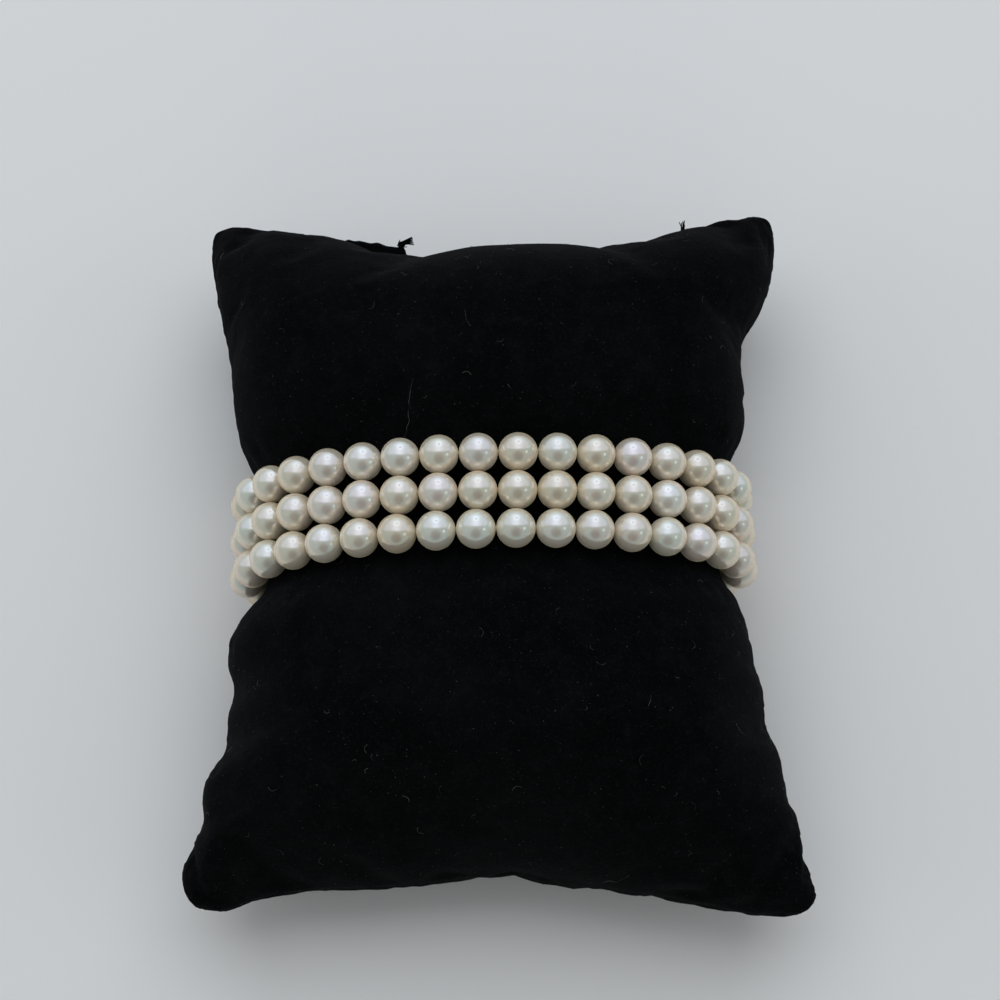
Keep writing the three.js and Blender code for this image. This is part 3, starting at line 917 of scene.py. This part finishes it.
def make_flap(pillow, material, threads):
    """The far seam's loose allowance, a folded edge, and the frayed ends along the seam."""
    places, reaches = zip(*FLAP_REACH)
    leaning = Vector((0, math.cos(FLAP_LEAN), math.sin(FLAP_LEAN)))
    corners = []
    for across in np.linspace(places[0], places[-1], FLAP_ROWS):
        reach = np.interp(across, places, reaches)
        ripple = FLAP_RIPPLE * noise.noise(Vector((across / FLAP_RIPPLE_LENGTH, 0, 5)))
        seam = far_seam(pillow, across)
        root = Vector((across, seam.y - FLAP_ROOT, seam.z + ripple))
        edge = Vector((across, seam.y, seam.z)) + leaning * (reach + ripple * 2)
        lift = Vector((0, -math.sin(FLAP_LEAN), math.cos(FLAP_LEAN))) * FLAP_THICKNESS / 2
        corners += [root + lift, edge + lift, edge - lift, root - lift]
    rows = len(corners) // 4
    faces = [(0, 1, 2, 3), (4 * rows - 1, 4 * rows - 2, 4 * rows - 3, 4 * rows - 4)]
    for row in range(rows - 1):
        here = 4 * row
        there = here + 4
        for side in range(4):
            following = (side + 1) % 4
            faces.append((here + side, there + side, there + following, here + following))
    sheet = mesh_from("flap", corners, (), faces)
    sheet.materials.append(material)
    flap = smoothed(link("flap", subdivided("flap_sheet", sheet, 1)))

    chance = np.random.default_rng(TUFT_SEED)
    lines = []
    thicknesses = []
    steps = TUFT_STEPS
    for tuft in TUFTS:
        seam = far_seam(pillow, tuft.across)
        foot = Vector((tuft.across, seam.y, seam.z)) + leaning * tuft.past_seam
        for _ in range(tuft.threads):
            heading = math.radians(tuft.heading + chance.normal() * tuft.spread)
            bend = math.radians(chance.normal() * TUFT_BEND)
            length = tuft.length * chance.uniform(*TUFT_LENGTH_SHARES)
            rise = chance.normal() * TUFT_RISE
            place = foot + Vector(chance.normal(0, TUFT_FOOT_RADIUS, 3))
            line = [place.copy()]
            for step in range(steps):
                turn = heading + bend * step / steps
                place = place + Vector((math.cos(turn), math.sin(turn), rise)) * length / steps
                line.append(place.copy())
            lines.append(line)
            thicknesses.append(np.linspace(*TUFT_TAPER, steps + 1))
    seedling = thread_lines("frayed", lines, thicknesses)
    frayed = grown("frayed", seedling, threads, {"Radius": TUFT_THREAD_RADIUS})
    piece = joined("seam_flap", [flap, frayed])
    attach(piece, "root")


def make_lint(pillow, strewn, threads):
    """Dust and fibres on the velvet's pile: chance ones all over, and the pale ones in their places."""
    sizes = {
        "Specks": SPECKS_PER_AREA,
        "Speck Radius": SPECK_RADIUS,
        "Fibres": FIBRES_PER_AREA,
        "Fibre Reach": FIBRE_REACH,
        "Fibre Radius": FIBRE_RADIUS,
        "Lowest": cad_low.z + LINT_CLEARANCE,
        "Seed": LINT_SEED,
    }
    dust = grown("dust", pillow.data.copy(), strewn, sizes)
    above = cad_high.z + PALE_FIBRE_DROP
    lines = []
    thicknesses = []
    steps = PALE_FIBRE_STEPS
    for fibre in PALE_FIBRES:
        x = fibre.x
        y = fibre.y
        line = []
        for step in range(steps + 1):
            hit, place, normal, _ = pillow.ray_cast(Vector((x, y, above)), Vector((0, 0, -1)))
            if hit:
                line.append(place + normal * FIBRE_RADIUS)
            chance = Vector((step * PALE_FIBRE_KINKS_PER_STEP, fibre.x / MM, fibre.y / MM))
            kink = noise.noise(chance) * PALE_FIBRE_KINK
            turn = math.radians(fibre.heading + fibre.bend * step / steps + kink)
            x += math.cos(turn) * fibre.length / steps
            y += math.sin(turn) * fibre.length / steps
        lines.append(line)
        thicknesses.extend(np.linspace(*PALE_FIBRE_TAPER, len(line)))
    seedling = thread_lines("pale_fibres", lines, thicknesses)
    pale = grown("pale_fibres", seedling, threads, {"Radius": FIBRE_RADIUS})
    piece = joined("lint", [dust, pale])
    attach(piece, "root")


def make_camera():
    """The camera over the strands' crown, with the photograph's lean and roll."""
    low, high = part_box("strand_middle")
    radius = (high.y - low.y) / 2
    crown = Vector(((low.x + high.x) / 2, (low.y + high.y) / 2, high.z - radius))
    back = Vector((0, -math.cos(CAMERA_ELEVATION), math.sin(CAMERA_ELEVATION)))
    up = Vector((0, math.sin(CAMERA_ELEVATION), math.cos(CAMERA_ELEVATION)))
    right = Vector((1, 0, 0))
    cos = math.cos(CAMERA_ROLL)
    sin = math.sin(CAMERA_ROLL)
    rolled_right = right * cos - up * sin
    rolled_up = right * sin + up * cos
    data = bpy.data.cameras.new("camera")
    data.sensor_width = CAMERA_SENSOR
    data.lens = CAMERA_LENS
    data.shift_x = CROWN_RIGHT_SHIFT
    data.shift_y = CROWN_UP_SHIFT
    data.clip_start = 0.01
    camera = link("camera", data)
    turned = Matrix((rolled_right, rolled_up, back)).transposed().to_4x4()
    camera.matrix_world = Matrix.Translation(crown + back * CAMERA_DISTANCE) @ turned
    bpy.context.scene.camera = camera


def make_lights():
    """The softboxes. Gloss doesn't see them, because it sees the studio of the world instead."""
    top = Vector((0, 0, cad_high.z))
    for box in SOFTBOXES:
        data = bpy.data.lights.new(box.name, "AREA")
        data.shape = "RECTANGLE"
        data.size = box.width
        data.size_y = box.height
        data.energy = box.power
        data.color = box.tint
        light = link(box.name, data)
        away = Vector(box.direction).normalized()
        light.location = top + away * box.distance
        light.visible_glossy = False
        light.rotation_mode = "QUATERNION"
        light.rotation_quaternion = (-away).to_track_quat("-Z", "Y")


def tilted(degrees_up, degrees_right=0):
    """A direction that leans from the camera's own: up the picture, and to its right."""
    back = Vector((0, -math.cos(CAMERA_ELEVATION), math.sin(CAMERA_ELEVATION)))
    up = Vector((0, math.sin(CAMERA_ELEVATION), math.cos(CAMERA_ELEVATION)))
    lifted = back * math.cos(math.radians(degrees_up)) + up * math.sin(math.radians(degrees_up))
    lean = math.radians(degrees_right)
    return lifted * math.cos(lean) + Vector((math.sin(lean), 0, 0))


def make_world():
    """An even pale room. Gloss sees the studio: a broad diffuser over the far side, a ring lamp in
    front of it, a small window to the right, and the dark of the camera."""
    world = bpy.data.worlds.new("studio")
    world.use_nodes = True
    world.node_tree.nodes.clear()
    web = Web(world.node_tree)
    way = web.add("ShaderNodeTexCoord", out="Generated")

    def towards(direction):
        values = [way, tuple(direction.normalized())]
        return web.add("ShaderNodeVectorMath", {"operation": "DOT_PRODUCT"}, values, out="Value")

    def lit(spot):
        ends = math.cos(math.radians(spot.ends))
        full = math.cos(math.radians(spot.full))
        return towards(tilted(spot.up, spot.right)).smooth(ends, full) * spot.strength

    right = towards(Vector((1, 0, 0)))
    sides = right.worked("ABSOLUTE", right)
    height = towards(Vector((0, 0, 1))).smooth(*HORIZON_EDGE)
    diffuser = towards(tilted(DIFFUSER_LEAN)).smooth(*DIFFUSER_EDGE) * height
    middle = 1 - sides.smooth(*MIDDLE_EDGE)
    lamp = lit(RING_LAMP) - lit(RING_HOLE)
    glow = ROOM_GLOW + diffuser * (DIFFUSER_GLOW + middle * MIDDLE_GLOW + lamp) + lit(WINDOW)
    seen = glow * (1 - lit(CAMERA_SHADE))
    path = web.add("ShaderNodeLightPath", out="Is Glossy Ray")
    strength = path * seen + (1 - path) * ROOM_LIGHT
    mirrored = web.mixed(diffuser, colour(0.62, 0.95, 1.08), colour(0.82, 1.03, 1.46))
    tint = web.mixed(path, colour(0.88, 0.95, 1.0), mirrored)
    room = web.add("ShaderNodeBackground", None, {"Color": tint, "Strength": strength})
    web.add("ShaderNodeOutputWorld", None, {"Surface": room})
    bpy.context.scene.world = world


def make_floor(material):
    signs = ((-1, -1), (1, -1), (1, 1), (-1, 1))
    corners = [(x * FLOOR_REACH, y * FLOOR_REACH, cad_low.z) for x, y in signs]
    mesh = mesh_from("floor", corners, (), [(0, 1, 2, 3)])
    mesh.materials.append(material)
    link("floor", mesh)


make_camera()
make_world()
make_lights()
make_floor(paper())

nacre_finish = nacre()
silk_finish = silk()
pearls = pearl_tree(nacre_finish)
silks = silk_tree(silk_finish)
for number, node in enumerate(STRANDS):
    make_strand(node, number, pearls, silks, silk_finish)

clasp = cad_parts["clasp"]
clasp.data.materials.clear()
clasp.data.materials.append(silver())

velvet_finish = velvet()
pillow = make_pillow(velvet_finish)
make_flap(pillow, velvet_finish, thread_tree(velvet_finish))
lint_finish = lint_fibre()
make_lint(pillow, lint_tree(lint_finish), thread_tree(lint_finish))

bpy.context.scene.view_settings.view_transform = "Standard"
